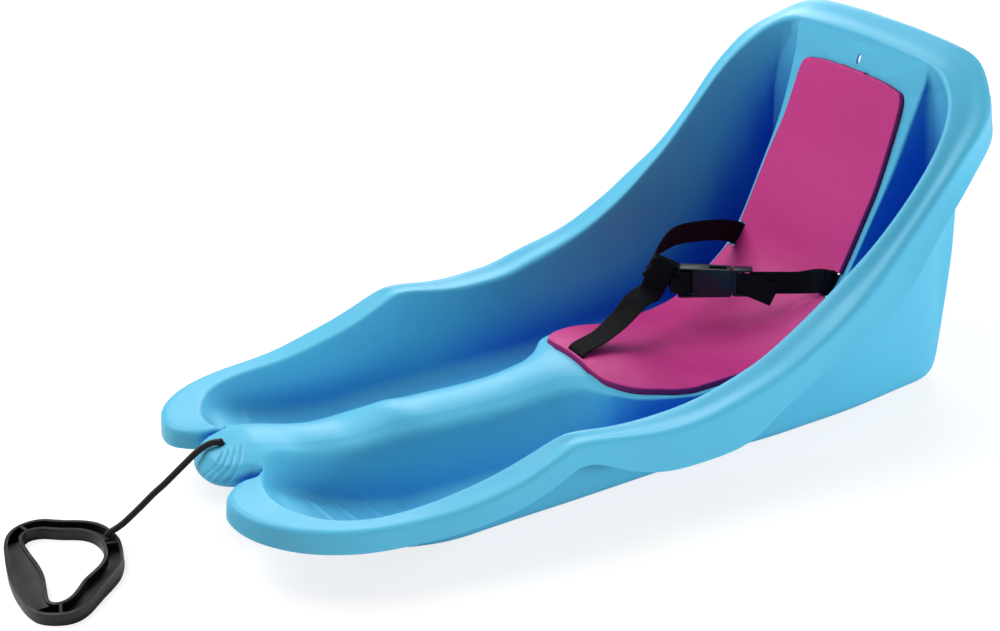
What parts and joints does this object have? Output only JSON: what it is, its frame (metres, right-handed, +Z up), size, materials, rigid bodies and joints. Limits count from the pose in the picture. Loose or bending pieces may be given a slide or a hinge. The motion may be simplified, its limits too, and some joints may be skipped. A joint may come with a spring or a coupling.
{
  "type": "baby pull sled",
  "caption": "Moulded plastic pull sled for a small child, with leg wells, padded reclined seat, three-point webbing harness with side release buckle, and a tow rope with a triangle handle.",
  "frame": {"origin": "on the ground under the middle of the sled, without the tow rope and handle", "axes": "+Z up, -Y towards the nose and the tow rope, +X to the right side of the picture's nearer wall"},
  "size_m": [0.399, 0.976, 0.3575],
  "materials": {
    "shell_plastic": "satin moulded polyethylene, cyan blue",
    "pad_foam": "matte foam, magenta, fine skin texture",
    "webbing": "woven polypropylene webbing, black",
    "black_plastic": "satin moulded plastic, black",
    "tow_cord": "braided cord, black"
  },
  "bodies": {
    "sled": {"sled_shell": "shell_plastic", "seat_pad": "pad_foam", "rope_knot": "tow_cord", "strap_stop_left": "black_plastic", "strap_stop_right": "black_plastic", "strap_stop_crotch": "black_plastic", "crotch_strap": "webbing", "waist_strap_left": "webbing", "waist_strap_right": "webbing", "buckle_socket": "black_plastic"},
    "tow": {"tow_rope": "tow_cord"},
    "handle": {"pull_handle": "black_plastic", "handle_knot": "tow_cord"},
    "plug": {"buckle_plug": "black_plastic", "strap_tail": "webbing"},
    "prong_upper": {"release_prong_upper": "black_plastic"},
    "prong_lower": {"release_prong_lower": "black_plastic"}
  },
  "joints": [
    {"name": "tow_swing", "type": "hinge", "parent": "sled", "child": "tow", "pos_m": [0, -0.3758, 0.087], "axis": [-1, 0, 0], "range_deg": [0, 75]},
    {"name": "handle_swivel", "type": "hinge", "parent": "tow", "child": "handle", "pos_m": [-0.0205, -0.481, 0.009], "axis": [-1, 0, 0], "range_deg": [0, 80], "deforming": ["tow_rope"]},
    {"name": "buckle_release", "type": "slide", "parent": "sled", "child": "plug", "axis": [0.6091, 0.7922, 0.038], "range_m": [0, 0.024], "deforming": ["waist_strap_right"]},
    {"name": "squeeze_upper", "type": "hinge", "parent": "plug", "child": "prong_upper", "pos_m": [0.01574, 0.18531, 0.12002], "axis": [0.7928, -0.6095, 0], "range_deg": [0, 7], "stiffness_Nm_per_rad": 0.01},
    {"name": "squeeze_lower", "type": "hinge", "parent": "plug", "child": "prong_lower", "pos_m": [0.01615, 0.18584, 0.10223], "axis": [-0.7928, 0.6095, 0], "range_deg": [0, 7], "stiffness_Nm_per_rad": 0.01}
  ]
}
